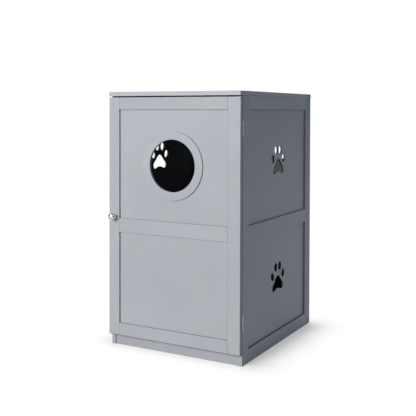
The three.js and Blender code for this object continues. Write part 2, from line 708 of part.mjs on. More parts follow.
function addCatch() {
  const { width, depth, height } = catchBody;
  const earReach = width / 2 + catchEar.length;
  const y1 = catchFront + depth;
  const block = board(catchX - width / 2, catchX + width / 2, catchFront, y1,
    catchBase, catchBase + height);
  const ears = board(catchX - earReach, catchX + earReach, catchFront, y1,
    catchBase, catchBase + catchEar.thickness);
  const pocket = board(catchX - magnet.width / 2 - fitGap, catchX + magnet.width / 2 + fitGap,
    catchFront - overcut, catchFront + magnet.depth + fitGap,
    catchMiddleZ - magnet.height / 2 - fitGap, catchMiddleZ + magnet.height / 2 + fitGap);
  const holes = catchScrewPlaces().map(([x, y]) => bar(catchScrew.diameter / 2 + plateGap,
    catchEar.thickness + 2 * overcut, 'z', [x, y, catchBase - overcut]));
  addPiece('catch_housing', cutAll(block.add(ears), [pocket, ...holes]), plastic);
  addPiece('catch_magnet', board(catchX - magnet.width / 2, catchX + magnet.width / 2,
    strikeBack + fitGap, catchFront + magnet.depth,
    catchMiddleZ - magnet.height / 2, catchMiddleZ + magnet.height / 2), steel);

  const names = ['catch_left_screw', 'catch_right_screw'];
  catchScrewPlaces().forEach(([x, y], i) => {
    const seat = catchBase + catchEar.thickness + plateGap;
    addPiece(names[i], bar(catchScrew.headDiameter / 2, catchScrew.headHeight, 'z', [x, y, seat])
      .add(bar(catchScrew.diameter / 2, -catchScrew.length, 'z', [x, y, seat])), steel);
  });

  const plate = board(catchX - strike.width / 2, catchX + strike.width / 2,
    doorThickness + plateGap, strikeBack,
    catchMiddleZ - strike.height / 2, catchMiddleZ + strike.height / 2);
  const headSeat = strikeScrew.headHeight + plateGap / 2;
  const centre = [catchX, strikeBack + overcut, catchMiddleZ];
  addPiece('strike_plate', cutAll(plate, [
    bar(strikeScrew.headDiameter / 2 + plateGap, -(headSeat + overcut), 'y', centre),
    bar(strikeScrew.diameter / 2 + plateGap, -(strike.thickness + 2 * overcut), 'y', centre),
  ]), steel);
  addPiece('strike_screw', screwAlongY(strikeScrew, [catchX, strikeBack, catchMiddleZ], -1), steel);
}

// ---------------------------------------------------------------- assembly

sidePanel('left');
sidePanel('right');
addBoards();
addDoor();
addKnob();
addHinge('lower', hingeHeights.lower);
addHinge('upper', hingeHeights.upper);
addCatch();

// The origin: the middle of the footprint, from the knob to the top board's back edge and from
// the top board's left edge to the hinge knuckles.
const rightmost = Math.max(topHalfWidth, hingeAxisX + knuckleRadius);
const foremost = -Math.max(topFrontOverhang, knobProjection + plateGap);
const rearmost = sideBack + topBackOverhang;
cabinet.position.set((topHalfWidth - rightmost) / 2, -(foremost + rearmost) / 2, 0);

const root = new THREE.Group();
root.add(cabinet);

export default root;
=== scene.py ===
import math

import bmesh
import bpy
import numpy as np
from mathutils import Matrix, Vector
from mathutils.geometry import tessellate_polygon


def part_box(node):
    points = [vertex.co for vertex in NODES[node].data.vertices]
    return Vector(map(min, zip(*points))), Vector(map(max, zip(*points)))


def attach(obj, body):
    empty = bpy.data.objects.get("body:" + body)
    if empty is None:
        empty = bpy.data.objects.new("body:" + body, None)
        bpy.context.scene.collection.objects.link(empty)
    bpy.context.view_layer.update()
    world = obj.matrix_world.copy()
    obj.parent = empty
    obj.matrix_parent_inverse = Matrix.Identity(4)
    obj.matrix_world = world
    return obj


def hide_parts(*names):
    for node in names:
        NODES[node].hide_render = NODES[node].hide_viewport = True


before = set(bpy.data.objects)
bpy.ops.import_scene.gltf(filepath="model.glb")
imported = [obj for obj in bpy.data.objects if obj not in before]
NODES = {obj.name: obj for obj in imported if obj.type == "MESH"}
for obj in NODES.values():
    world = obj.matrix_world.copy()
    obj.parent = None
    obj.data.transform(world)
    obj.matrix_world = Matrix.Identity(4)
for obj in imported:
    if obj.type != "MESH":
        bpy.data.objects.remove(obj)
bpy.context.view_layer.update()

# Everything is in metres, in the frame of the CAD: X to the right, Y from the door to the back and
# Z up from the floor. MM turns a number of millimetres into metres.

MM = 0.001
AXES = {"x": 0, "y": 1, "z": 2}

# ---------------------------------------------------------------- camera

CAMERA_AT = Vector((1.34245, -2.46575, 0.8321))
CAMERA_YAW = math.radians(28.82)
CAMERA_PITCH = math.radians(-1.14)
CAMERA_ROLL = math.radians(0.157)
CAMERA_SENSOR = 36
CAMERA_LENS = 65.17
CAMERA_SHIFT = (-0.0062, -0.1957)
CAMERA_CLIP = (0.05, 60)


def make_camera():
    """Puts the camera where the photograph's straight edges say that it stood."""
    forward = Vector((-math.sin(CAMERA_YAW) * math.cos(CAMERA_PITCH),
                      math.cos(CAMERA_YAW) * math.cos(CAMERA_PITCH),
                      math.sin(CAMERA_PITCH)))
    right = Vector((math.cos(CAMERA_YAW), math.sin(CAMERA_YAW), 0))
    up = right.cross(forward)
    rolled_right = math.cos(CAMERA_ROLL) * right + math.sin(CAMERA_ROLL) * up
    rolled_up = -math.sin(CAMERA_ROLL) * right + math.cos(CAMERA_ROLL) * up
    data = bpy.data.cameras.new("camera")
    data.sensor_width = CAMERA_SENSOR
    data.lens = CAMERA_LENS
    data.shift_x, data.shift_y = CAMERA_SHIFT
    data.clip_start, data.clip_end = CAMERA_CLIP
    camera = bpy.data.objects.new("camera", data)
    turn = Matrix((rolled_right, rolled_up, -forward)).transposed().to_4x4()
    camera.matrix_world = Matrix.Translation(CAMERA_AT) @ turn
    bpy.context.scene.collection.objects.link(camera)
    bpy.context.scene.camera = camera


# ---------------------------------------------------------------- node helpers

MIX_SHARE, MIX_A, MIX_B, MIX_RESULT = 0, 6, 7, 2  # a Mix node's sockets for colours
NOISE_SPAN = (0.3, 0.7)                           # most of a noise lies between these


class Tree:
    """A node tree with short calls for the nodes that the materials use."""

    def __init__(self, owner):
        owner.use_nodes = True
        self.nodes = owner.node_tree.nodes
        self.links = owner.node_tree.links
        self.nodes.clear()

    def add(self, kind, **settings):
        node = self.nodes.new(kind)
        for name, value in settings.items():
            setattr(node, name, value)
        return node

    def put(self, socket, value):
        if isinstance(value, bpy.types.NodeSocket):
            self.links.new(value, socket)
        else:
            socket.default_value = value

    def math(self, operation, a, b=0.0, c=0.0):
        node = self.add("ShaderNodeMath", operation=operation)
        for socket, value in zip(node.inputs, (a, b, c)):
            self.put(socket, value)
        return node.outputs[0]

    def product(self, first, *others):
        for other in others:
            first = self.math("MULTIPLY", first, other)
        return first

    def ramp(self, value, low, high, to_low=0.0, to_high=1.0):
        """A smooth step of value from low to high, given out as to_low to to_high."""
        node = self.add("ShaderNodeMapRange", interpolation_type="SMOOTHSTEP")
        for socket, part in zip(node.inputs, (value, low, high, to_low, to_high)):
            self.put(socket, part)
        return node.outputs[0]

    def mix(self, share, a, b, blend="MIX"):
        node = self.add("ShaderNodeMix", data_type="RGBA", blend_type=blend)
        for socket, value in ((MIX_SHARE, share), (MIX_A, a), (MIX_B, b)):
            self.put(node.inputs[socket], value)
        return node.outputs[MIX_RESULT]

    def split(self, vector):
        """A vector's three parts."""
        node = self.add("ShaderNodeSeparateXYZ")
        self.put(node.inputs[0], vector)
        return node.outputs

    def join(self, parts):
        """A colour from its red, green and blue."""
        node = self.add("ShaderNodeCombineColor")
        for socket, part in zip(node.inputs, parts):
            self.put(socket, part)
        return node.outputs[0]

    def outside(self, along, low, high):
        """How far a coordinate is past the span from low to high, less than 0 within it."""
        middle, half = (low + high) / 2, (high - low) / 2
        off = self.math("ABSOLUTE", self.math("SUBTRACT", along, middle))
        return self.math("SUBTRACT", off, half)

    def noise(self, place, scale, detail=3.0, rough=0.55, stretch=None, offset=(0, 0, 0)):
        if stretch or any(offset):
            mapping = self.add("ShaderNodeMapping")
            self.put(mapping.inputs["Vector"], place)
            mapping.inputs["Location"].default_value = offset
            mapping.inputs["Scale"].default_value = stretch or (1, 1, 1)
            place = mapping.outputs[0]
        node = self.add("ShaderNodeTexNoise")
        self.put(node.inputs["Vector"], place)
        node.inputs["Scale"].default_value = scale
        node.inputs["Detail"].default_value = detail
        node.inputs["Roughness"].default_value = rough
        return node.outputs["Fac"]

    def bump(self, height, strength, distance):
        node = self.add("ShaderNodeBump")
        node.inputs["Strength"].default_value = strength
        node.inputs["Distance"].default_value = distance
        self.put(node.inputs["Height"], height)
        return node.outputs[0]

    def shader(self, **values):
        """The surface, from Principled BSDF's inputs with _ for each space in their names."""
        node = self.add("ShaderNodeBsdfPrincipled")
        for name, value in values.items():
            self.put(node.inputs[name.replace("_", " ")], value)
        self.finish(node.outputs[0], "ShaderNodeOutputMaterial")

    def finish(self, surface, kind):
        self.links.new(surface, self.add(kind).inputs[0])


def colour(red, green, blue):
    return (red, green, blue, 1.0)


def times(tone, factors):
    """A colour with each of its parts times a factor."""
    return colour(*(part * factor for part, factor in zip(tone, factors)))


def stretched(grain, share):
    """The scale of a noise that is drawn out along an axis, or in no direction for None."""
    return tuple(share if axis == grain else 1.0 for axis in AXES)


# ---------------------------------------------------------------- paint

PAINT = (0.500, 0.507, 0.528)
WARMER = (1.01, 1.0, 0.985)      # times the paint, in warmer patches
PRIMER = (0.66, 0.67, 0.68)      # shows through on the edges
PRIMER_SHARE = 0.35
INSIDE_PAINTED_SHADE = 0.42               # times the paint: painted shade on what looks into the cabinet
MATT = 0.95                      # roughness of that painted shade and of darker painted shades
FULL_SATIN = 0.9                 # painted shades from here up are as glossy as the rest
SATIN = (0.40, 0.50)             # roughness of the rest
WORN = 0.08                      # added to the roughness of the edges
SPECULAR = 0.28

# Noises: scale per metre, detail and roughness. Tones: what a noise's low and high parts give.
DRIFT = {"scale": 3.2, "detail": 4}                   # slow change along a board
DRIFT_TONES = (0.965, 1.03)
PATCHES = {"scale": 9, "detail": 3}                   # of warmer paint
PATCHES_SPAN = (0.35, 0.65)
MOTTLE = {"scale": 70, "detail": 5, "rough": 0.6}
MOTTLE_TONES = (0.988, 1.012)
MOTTLE_GLOSS = (0.98, 1.02)                           # the tones for the least and most roughness
RUBBING = {"scale": 160, "detail": 4, "rough": 0.7}   # where an edge has thin paint
RUBBING_SPAN = (0.42, 0.72)
STREAKS = {"scale": 620, "detail": 3, "rough": 0.5}   # rolled, along the grain
STREAK_TONES = (0.988, 1.01)
STREAK_STRETCH = 0.035
PEEL = {"scale": 1400, "detail": 2, "rough": 0.5}     # orange peel
PEEL_SHARE = 0.5                                      # of the bumps, the rest being streaks
PAINT_BUMP = {"strength": 0.10, "distance": 0.4 * MM}
SEED_STEP = (1.7, -2.3, 0.9)                          # moves the noises for each seed

FOOT_HEIGHT, FOOT_TONE = 50 * MM, 0.93                # darker towards the floor
EDGE_PAINT = (0.2 * MM, 1.3 * MM)                     # distances from thin paint to full paint
FACING = (0.35, 0.75)                                 # a normal's part from no shade to full
WRAP_BLUR = 0.6 * MM                                  # each way from the end of a wrap
DOOR_BOTTOM = 39.5 * MM                               # its height
DOOR_BOTTOM_BLUR = 4 * MM
TENON = 7.9 * MM                                      # a rail's shoulder to its tenon's end
JOINT_SHADE_SPAN = (1.4 * MM, 0.3 * MM)                     # painted shade in a joint: inside the shoulder, from clear to dark
# times the paint, where the painted shade in a joint is darkest
JOINT_SHADE_TONE = 0.75

# How far a painted shade goes round its face's arrises: the inside's painted shade, the painted
# shadow in the gap behind the door, the painted shadow line along the door's bottom, and the
# painted shade line along the hinge stile's recess
INSIDE_WRAP = 3.4 * MM
FRONT_WRAP = 2.4 * MM
FOOT_WRAP = 1.6 * MM
SHOULDER_WRAP = 1.3 * MM


def edge_distance(tree, at, low, high):
    """How far a point on a box's surface is from the nearest edge of that box, in metres."""
    gaps = [tree.math("MULTIPLY", tree.outside(at[axis], low[axis], high[axis]), -1.0)
            for axis in range(3)]
    smaller = tree.math("MINIMUM", gaps[0], gaps[1])
    larger = tree.math("MAXIMUM", gaps[0], gaps[1])
    return tree.math("MAXIMUM", smaller, tree.math("MINIMUM", larger, gaps[2]))


def shaded(tree, normal, level, shades, wraps, at, low, high):
    """The level times the painted shade or painted light of each direction that the surface faces,
    such as "+z". A painted shade in wraps goes round its face's arrises to a depth, and one from
    the front or a side does so only above the door's bottom. A wrapped painted shade of the front
    is itself only above it."""
    facing = tree.split(normal)
    above = tree.ramp(at[2], DOOR_BOTTOM, DOOR_BOTTOM + DOOR_BOTTOM_BLUR)
    for direction, shade in shades.items():
        axis = AXES[direction[1]]
        sign = 1.0 if direction[0] == "+" else -1.0
        mask = tree.ramp(tree.math("MULTIPLY", facing[axis], sign), *FACING)
        if direction in wraps:
            face = high[axis] if sign > 0 else low[axis]
            depth = tree.math("MULTIPLY", tree.math("SUBTRACT", face, at[axis]), sign)
            reach = wraps[direction]
            near = tree.ramp(depth, reach - WRAP_BLUR, reach + WRAP_BLUR, 1.0, 0.0)
            if direction[1] != "z":
                near = tree.math("MULTIPLY", near, above)
            mask = tree.math("MAXIMUM", mask, near)
            if direction == "-y":
                mask = tree.math("MULTIPLY", mask, above)
        level = tree.math("MULTIPLY", level, tree.ramp(mask, 0.0, 1.0, 1.0, shade))
    return level


def paint(name, low, high, grain="z", shades=None, seed=0.0, wraps=None, jointed=False,
          level=1.0):
    """Satin sprayed paint on fibreboard: drifting tone, a faint rolled grain along the board, fine
    orange peel, thin paint on the edges and a darker foot. Faces also take painted shade or
    painted light by the direction they look in, such as on the ledges of a recess and on what
    looks into the cabinet. A jointed board has a hairline of painted shade at both ends, where its
    shoulders meet the stiles. level is a painted shade over the whole board."""
    material = bpy.data.materials.new(name)
    tree = Tree(material)
    coordinates = tree.add("ShaderNodeTexCoord")
    place, normal = coordinates.outputs["Object"], coordinates.outputs["Normal"]
    at = tree.split(place)
    offset = tuple(seed * step for step in SEED_STEP)

    drift = tree.ramp(tree.noise(place, **DRIFT, offset=offset), *NOISE_SPAN, *DRIFT_TONES)
    mottle = tree.ramp(tree.noise(place, **MOTTLE, offset=offset), *NOISE_SPAN, *MOTTLE_TONES)
    streaks = tree.noise(place, **STREAKS, stretch=stretched(grain, STREAK_STRETCH),
                         offset=offset)
    streak_tone = tree.ramp(streaks, *NOISE_SPAN, *STREAK_TONES)
    foot = tree.ramp(at[2], 0.0, FOOT_HEIGHT, FOOT_TONE, 1.0)
    # painted shade and painted light, by the direction a face looks in and over the whole board
    painted_shade = shaded(tree, normal, level, shades or {}, wraps or {}, at, low, high)
    tone = tree.product(drift, mottle, streak_tone, foot, painted_shade)
    # a hairline of painted shade where a rail's shoulders meet the stiles
    if jointed:
        axis = AXES[grain]
        clear, dark = (-TENON - inside for inside in JOINT_SHADE_SPAN)
        joint_shade = tree.ramp(tree.outside(at[axis], low[axis], high[axis]), clear, dark)
        tone = tree.math("MULTIPLY", tone, tree.ramp(joint_shade, 0.0, 1.0, 1.0, JOINT_SHADE_TONE))

    patches = tree.ramp(tree.noise(place, **PATCHES, offset=offset), *PATCHES_SPAN)
    base = tree.mix(patches, colour(*PAINT), times(PAINT, WARMER))
    base = tree.mix(1.0, base, tree.join((tone, tone, tone)), "MULTIPLY")

    distance = edge_distance(tree, at, low, high)
    rubbed = tree.ramp(tree.noise(place, **RUBBING, offset=offset), *RUBBING_SPAN)
    thin = tree.math("MULTIPLY", tree.ramp(distance, *EDGE_PAINT, 1.0, 0.0), rubbed)
    base = tree.mix(tree.math("MULTIPLY", thin, PRIMER_SHARE), base,
                    times(PRIMER, (level, level, level)))

    rough = tree.ramp(mottle, *MOTTLE_GLOSS, *SATIN)
    rough = tree.math("ADD", rough, tree.math("MULTIPLY", thin, WORN))
    rough = tree.math("MAXIMUM", rough, tree.ramp(painted_shade, INSIDE_PAINTED_SHADE, FULL_SATIN, MATT, 0.0))
    height = tree.math("ADD", tree.math("MULTIPLY", tree.noise(place, **PEEL), PEEL_SHARE),
                       tree.math("MULTIPLY", streaks, 1.0 - PEEL_SHARE))
    tree.shader(Base_Color=base, Roughness=rough, Normal=tree.bump(height, **PAINT_BUMP),
                Specular_IOR_Level=SPECULAR)
    return material


# ---------------------------------------------------------------- metal and plastic

CLOUD = {"scale": 260, "detail": 4, "rough": 0.6}
MARKS = {"scale": 3800, "detail": 3, "rough": 0.6}       # brushing or polishing
MARKS_SPAN = (0.25, 0.75)
MARKS_GLOSS = (0.75, 1.3)                                # times the roughness
CLOUD_GLOSS = 0.2                                        # of the roughness, added
SCRATCHES = {"scale": 1500, "detail": 2, "rough": 0.4}
SCRATCHES_SPAN = (0.62, 0.7)
SCRATCHES_SHARE, SCRATCHES_TONE = 0.3, 0.6
BRUSH_STRETCH = 0.04
METAL_BUMP = 0.06 * MM

YELLOWING = {"scale": 90, "detail": 3}
YELLOWING_SPAN = (0.35, 0.65)
YELLOWED = (0.98, 0.96, 0.88)                            # times the plastic
SPARKED = {"scale": 2600, "detail": 3, "rough": 0.6}
SPARKED_GLOSS = (0.38, 0.55)
PLASTIC_BUMP = {"strength": 0.3, "distance": 0.1 * MM}

# Each metal's name, colour, roughness, tint of the cloudy parts, strength of the marks, and the
# axis of its brushing, or None if it is polished
METAL_LOOKS = {
    "nickel": ("polished_nickel", (0.58, 0.56, 0.51), 0.06, (0.96, 0.95, 0.92), 0.12, None),
    "hinge": ("hinge_steel", (0.34, 0.335, 0.325), 0.42, (0.90, 0.91, 0.93), 0.25, "z"),
    "pin": ("pin_steel", (0.26, 0.26, 0.27), 0.30, (0.9, 0.9, 0.92), 0.25, "z"),
    "zinc": ("bright_zinc", (0.60, 0.61, 0.62), 0.30, (0.94, 0.97, 1.04), 0.2, None),
    "ferrite": ("magnet_plate", (0.30, 0.30, 0.31), 0.42, (0.9, 0.9, 0.9), 0.25, "x"),
}
WHITE_PLASTIC = (0.74, 0.74, 0.71)
FITTING = {}


def metal(name, tone, roughness, tint, strength, grain):
    """Plated metal: cloudy tone, fine brushing or polishing marks and a few deeper scratches."""
    material = bpy.data.materials.new(name)
    tree = Tree(material)
    place = tree.add("ShaderNodeTexCoord").outputs["Object"]
    stretch = stretched(grain, BRUSH_STRETCH)
    cloud = tree.ramp(tree.noise(place, **CLOUD), *NOISE_SPAN)
    marks = tree.noise(place, **MARKS, stretch=stretch)
    scratches = tree.ramp(tree.noise(place, **SCRATCHES, stretch=stretch), *SCRATCHES_SPAN)
    base = tree.mix(cloud, colour(*tone), times(tone, tint))
    base = tree.mix(tree.math("MULTIPLY", scratches, SCRATCHES_SHARE), base,
                    colour(*(part * SCRATCHES_TONE for part in tone)))
    rough = tree.ramp(marks, *MARKS_SPAN, *(roughness * part for part in MARKS_GLOSS))
    rough = tree.math("ADD", rough, tree.math("MULTIPLY", cloud, roughness * CLOUD_GLOSS))
    tree.shader(Base_Color=base, Metallic=1.0, Roughness=rough,
                Normal=tree.bump(marks, strength, METAL_BUMP))
    return material


def plastic(name, tone):
    """Moulded plastic: fine spark-eroded grain and slightly yellowed patches."""
    material = bpy.data.materials.new(name)
    tree = Tree(material)
    place = tree.add("ShaderNodeTexCoord").outputs["Object"]
    patches = tree.ramp(tree.noise(place, **YELLOWING), *YELLOWING_SPAN)
    base = tree.mix(patches, colour(*tone), times(tone, YELLOWED))
    grain = tree.noise(place, **SPARKED)
    rough = tree.ramp(grain, *NOISE_SPAN, *SPARKED_GLOSS)
    tree.shader(Base_Color=base, Roughness=rough, Normal=tree.bump(grain, **PLASTIC_BUMP))
    return material


def make_fitting_materials():
    for key, look in METAL_LOOKS.items():
        FITTING[key] = metal(*look)
    FITTING["plastic"] = plastic("moulded_white", WHITE_PLASTIC)


# ---------------------------------------------------------------- mesh helpers

MERGE_WITHIN = 1e-7       # points closer than this are one
FLAT_WITHIN = 0.002       # faces that meet at less than this angle are one
MITRE_LIMIT = 0.25        # keeps an inset short at a sharp corner
TOE_STEPS = 48
SMALL_STEPS = 40          # round a screw, a knuckle or a pin


def finish_mesh(name, builder):
    bmesh.ops.remove_doubles(builder, verts=builder.verts, dist=MERGE_WITHIN)
    bmesh.ops.recalc_face_normals(builder, faces=builder.faces)
    mesh = bpy.data.meshes.new(name)
    builder.to_mesh(mesh)
    builder.free()
    return mesh


def stand_in(node, mesh, material, body, smooth=30):
    """Shows a finished mesh in place of a CAD node, riding on that node's body. Faces that meet
    at less than smooth degrees shade as one."""
    piece = bpy.data.objects.new(f"{node}_dressed", mesh)
    bpy.context.scene.collection.objects.link(piece)
    mesh.materials.append(material)
    mesh.shade_smooth()
    mesh.set_sharp_from_angle(angle=math.radians(smooth))
    piece.modifiers.new("flat_faces_lead", "WEIGHTED_NORMAL").keep_sharp = True
    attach(piece, body)
    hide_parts(node)


def turns(count):
    """The angles of count points round a circle."""
    return [2 * math.pi * i / count for i in range(count)]


def circle(middle, radius, count):
    return [Vector((middle[0] + radius * math.cos(angle), middle[1] + radius * math.sin(angle)))
            for angle in turns(count)]


def ellipse(middle, width, height, lean):
    points = []
    for angle in turns(TOE_STEPS):
        across, up = width / 2 * math.cos(angle), height / 2 * math.sin(angle)
        points.append(Vector((middle[0] + across * math.cos(lean) - up * math.sin(lean),
                              middle[1] + across * math.sin(lean) + up * math.cos(lean))))
    return points


def rectangle(low_u, high_u, low_v, high_v):
    return [Vector((low_u, low_v)), Vector((high_u, low_v)),
            Vector((high_u, high_v)), Vector((low_u, high_v))]


def lay_on_side(u, v, w):
    """Lays a plate's loops in the plane of a side panel, with its thickness along x."""
    return Vector((w, u, v))


def lay_on_front(u, v, w):
    """Lays a plate's loops in the plane of the door, with its thickness along y."""
    return Vector((u, w, v))


def lay_flat(u, v, w):
    """Lays a plate's loops level, with its thickness along z."""
    return Vector((u, v, w))


def area(loop):
    return sum(a.x * b.y - b.x * a.y for a, b in zip(loop, loop[1:] + loop[:1])) / 2


def inset(loop, distance, hole):
    """The loop moved into the material by a small distance. A hole's loop grows."""
    turn = 1.0 if area(loop) > 0 else -1.0
    if hole:
        turn = -turn
    moved = []
    count = len(loop)
    for i, point in enumerate(loop):
        before = (point - loop[i - 1]).normalized()
        after = (loop[(i + 1) % count] - point).normalized()
        normal = Vector((-(before.y + after.y), before.x + after.x))
        scale = distance / max(MITRE_LIMIT, normal.length_squared / 2)
        moved.append(point + normal * turn * scale)
    return moved


def plate(name, loops, depth, thickness, lay, ease, steps=3):
    """A flat piece cut to loops, the first its outline and the rest its holes, with eased edges.

    lay(u, v, w) places a point: u and v are in the loops' plane, and w runs from depth through
    the thickness."""
    builder = bmesh.new()
    rings = []
    profile = []
    for i in range(steps + 1):
        angle = math.pi / 2 * i / steps
        profile.append((ease * (1 - math.sin(angle)), ease * (1 - math.cos(angle))))
    layers = profile + [(back, thickness - front) for back, front in reversed(profile)]
    for index, loop in enumerate(loops):
        ring = []
        for back, out in layers:
            moved = inset(loop, back, index > 0)
            ring.append([builder.verts.new(lay(p.x, p.y, depth + out)) for p in moved])
        count = len(loop)
        for lower, upper in zip(ring, ring[1:]):
            for i in range(count):
                j = (i + 1) % count
                builder.faces.new((lower[i], lower[j], upper[j], upper[i]))
        rings.append(ring)
    flat = [[p.to_3d() for p in inset(loop, ease, index > 0)] for index, loop in enumerate(loops)]
    for end in (0, -1):
        verts = [vert for ring in rings for vert in ring[end]]
        for triangle in tessellate_polygon(flat):
            builder.faces.new([verts[i] for i in triangle])
    bmesh.ops.dissolve_limit(builder, angle_limit=FLAT_WITHIN, verts=builder.verts,
                             edges=builder.edges)
    return finish_mesh(name, builder)


def turned(name, profile, middle, axis, count):
    """A solid turned from (radius, along) points, about an axis direction through middle."""
    direction = Vector(axis).normalized()
    side = direction.orthogonal().normalized()
    other = direction.cross(side)
    builder = bmesh.new()
    rings = []
    for radius, along in profile:
        ring = []
        for angle in turns(count)[:count if radius > 0 else 1]:
            out = side * math.cos(angle) + other * math.sin(angle)
            ring.append(builder.verts.new(middle + direction * along + out * radius))
        rings.append(ring)
    for lower, upper in zip(rings, rings[1:]):
        for i in range(count):
            j = (i + 1) % count
            corners = [lower[i % len(lower)], lower[j % len(lower)],
                       upper[j % len(upper)], upper[i % len(upper)]]
            corners = list(dict.fromkeys(corners))
            if len(corners) > 2:
                builder.faces.new(corners)
    return finish_mesh(name, builder)


def joined(name, meshes):
    builder = bmesh.new()
    for mesh in meshes:
        builder.from_mesh(mesh)
    whole = bpy.data.meshes.new(name)
    builder.to_mesh(whole)
    builder.free()
    for mesh in meshes:
        bpy.data.meshes.remove(mesh)
    return whole


# ---------------------------------------------------------------- boards

BOARD_EASE = 0.7 * MM
BEVEL_ANGLE = math.radians(40)
WELD_WITHIN = 1e-6
INSIDE = {"left": "+x", "right": "-x", "door": "+y"}  # the face that looks into the cabinet

# Each board's painted shade (factors below 1) or painted light (above 1) by the direction that a
# face looks in. The seeds follow this order.
SIDE_SHADES = {
    # painted shadow on the front edge, in the gap behind the door
    "front_stile": {"-y": 0.5},
    # painted shade on the recess wall and on the outer face
    "back_stile": {"-y": 0.85, "+x": 0.81, "-x": 0.81},
    # painted light on the outer face
    "top_rail": {"+x": 1.07, "-x": 1.07},
    # painted shade on the ledges of the recesses
    "mid_rail": {"+z": 0.1},
    "bottom_rail": {"+z": 0.1},
}
# Painted shade on the door: a shadow line along its bottom, its edge beside the hinge, a line
# along the hinge stile's recess and the ledges of the recesses
DOOR_SHADES = {
    "knob_stile": {"-z": 0.3},
    "hinge_stile": {"+x": 0.95, "-x": 0.65, "-z": 0.3},
    "top_rail": {},
    "mid_rail": {"+z": 0.3},
    "bottom_rail": {"+z": 0.3, "-z": 0.3},
    "lower_infill": {},
}
# painted shade on the walls of the paw cut-outs
PAW_WALL_SHADES = {"+y": 0.3, "-y": 0.3, "+z": 0.3, "-z": 0.3}
# painted shade on the ring's upper wall
RING_SHADES = {"+z": 0.6}
# painted shade on the back panel's inner face
BACK_SHADES = {"-y": 0.8}

# The boards that belong to no frame: grain, painted shade or light by direction, and a painted
# shade over the whole board, the inside's for those within the cabinet. The top board has painted
# shade on its underside and painted light on its front edge and right end.
LOOSE_BOARDS = {
    "top_board": ("x", {"-z": INSIDE_PAINTED_SHADE, "-y": 1.12, "+x": 1.09}, 1.0),
    "plinth_board": ("x", {}, 1.0),
    "bottom_board": ("x", {}, INSIDE_PAINTED_SHADE),
    "left_cleat": ("y", {}, INSIDE_PAINTED_SHADE),
    "right_cleat": ("y", {}, INSIDE_PAINTED_SHADE),
}

# Where each cut board lies in the noises. The boards above count from 1.
SEEDS = {
    "left_upper_infill": 41.0, "left_lower_infill": 42.0,
    "right_upper_infill": 43.0, "right_lower_infill": 44.0,
    "door_upper_infill": 51.0, "entrance_ring": 52.0, "back_panel": 53.0, "mid_shelf": 54.0,
}


def slot_material(node, material):
    slot = NODES[node].material_slots[0]
    slot.link = "OBJECT"
    slot.material = material


def ease_edges(node, width, segments=3):
    """Rounds the sharp edges of a CAD node that stays, without a change to its mesh."""
    obj = NODES[node]
    obj.modifiers.new("weld", "WELD").merge_threshold = WELD_WITHIN
    bevel = obj.modifiers.new("eased_edges", "BEVEL")
    bevel.width = width
    bevel.segments = segments
    bevel.limit_method = "ANGLE"
    bevel.angle_limit = BEVEL_ANGLE
    bevel.use_clamp_overlap = True


def with_inside(shades, side):
    """The shades with painted shade on the face that looks into the cabinet."""
    return {**shades, INSIDE[side]: INSIDE_PAINTED_SHADE}


def dress_board(node, grain, shades, seed, level=1.0):
    """Keeps a CAD board, eases its edges and gives it paint of its own."""
    ease_edges(node, BOARD_EASE)
    low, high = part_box(node)
    side, _, part = node.partition("_")
    wraps = {}
    # how far each painted shade goes round the arrises
    if side == "door":
        wraps["-z"] = FOOT_WRAP
    elif side in INSIDE:
        wraps[INSIDE[side]] = INSIDE_WRAP
    if part == "front_stile":
        wraps["-y"] = FRONT_WRAP
    if part == "hinge_stile":
        wraps["-x"] = SHOULDER_WRAP
    slot_material(node, paint(f"paint_{node}", low, high, grain, shades, seed, wraps,
                              node.endswith("rail"), level))


def dress_boards():
    boards = []
    for side in ("left", "right"):
        for part, shades in SIDE_SHADES.items():
            grain = "y" if part.endswith("rail") else "z"
            boards.append((f"{side}_{part}", grain, with_inside(shades, side), 1.0))
    for part, shades in DOOR_SHADES.items():
        grain = "x" if part.endswith("rail") else "z"
        boards.append((f"door_{part}", grain, with_inside(shades, "door"), 1.0))
    boards += [(node, *look) for node, look in LOOSE_BOARDS.items()]
    for seed, (node, grain, shades, level) in enumerate(boards, 1):
        dress_board(node, grain, shades, float(seed), level)


# ---------------------------------------------------------------- cut boards

ENTRANCE_RADIUS = 89.5 * MM
ENTRANCE_STEPS = 160
RING_STEPS = 180
RING_EASE, RING_EASE_STEPS = 0.9 * MM, 5

PAW_Y = 20.55 * MM
PAW_HEIGHT = {"lower": 241.175 * MM, "upper": 661.925 * MM}

# The paw print, in millimetres: each toe's size, place from the middle and tilt in degrees, and
# the pad's right half as curves. A curve is two handles and an end, in shares of half the pad's
# width and of its height. A last curve runs on to the notch.
INNER_TOE = {"width": 25.5, "height": 31, "out": 17.5, "up": 33.5, "tilt": 4}
OUTER_TOE = {"width": 24, "height": 31, "out": 46, "up": 3, "tilt": 28}
PAD = {"top": 1.5, "width": 92, "height": 53.5, "notch": 7.5}
PAD_CURVES = (
    ((0.3, 0), (0.48, -0.24), (0.61, -0.34)),
    ((0.78, -0.48), (1, -0.59), (1, -0.72)),
    ((1, -0.9), (0.91, -1), (0.74, -1)),
)
NOTCH_HANDLES = (0.48, 0.3)
CURVE_STEPS = 10
SIDE_INFILL_EASE = 0.5 * MM

VENT_RADIUS = 54 * MM
VENT_X = 150 * MM
VENT_Z = 700 * MM
VENT_STEPS = 120
THIN_BOARD_EASE = 0.4 * MM

PASSAGE_X = (18.35 * MM, 208.35 * MM)
PASSAGE_FROM_BACK = 90 * MM
PASSAGE_DEPTH = 280 * MM
PASSAGE_CORNER = 45 * MM
CORNER_STEPS = 12
SHELF_EASE, SHELF_EASE_STEPS = 1.2 * MM, 4


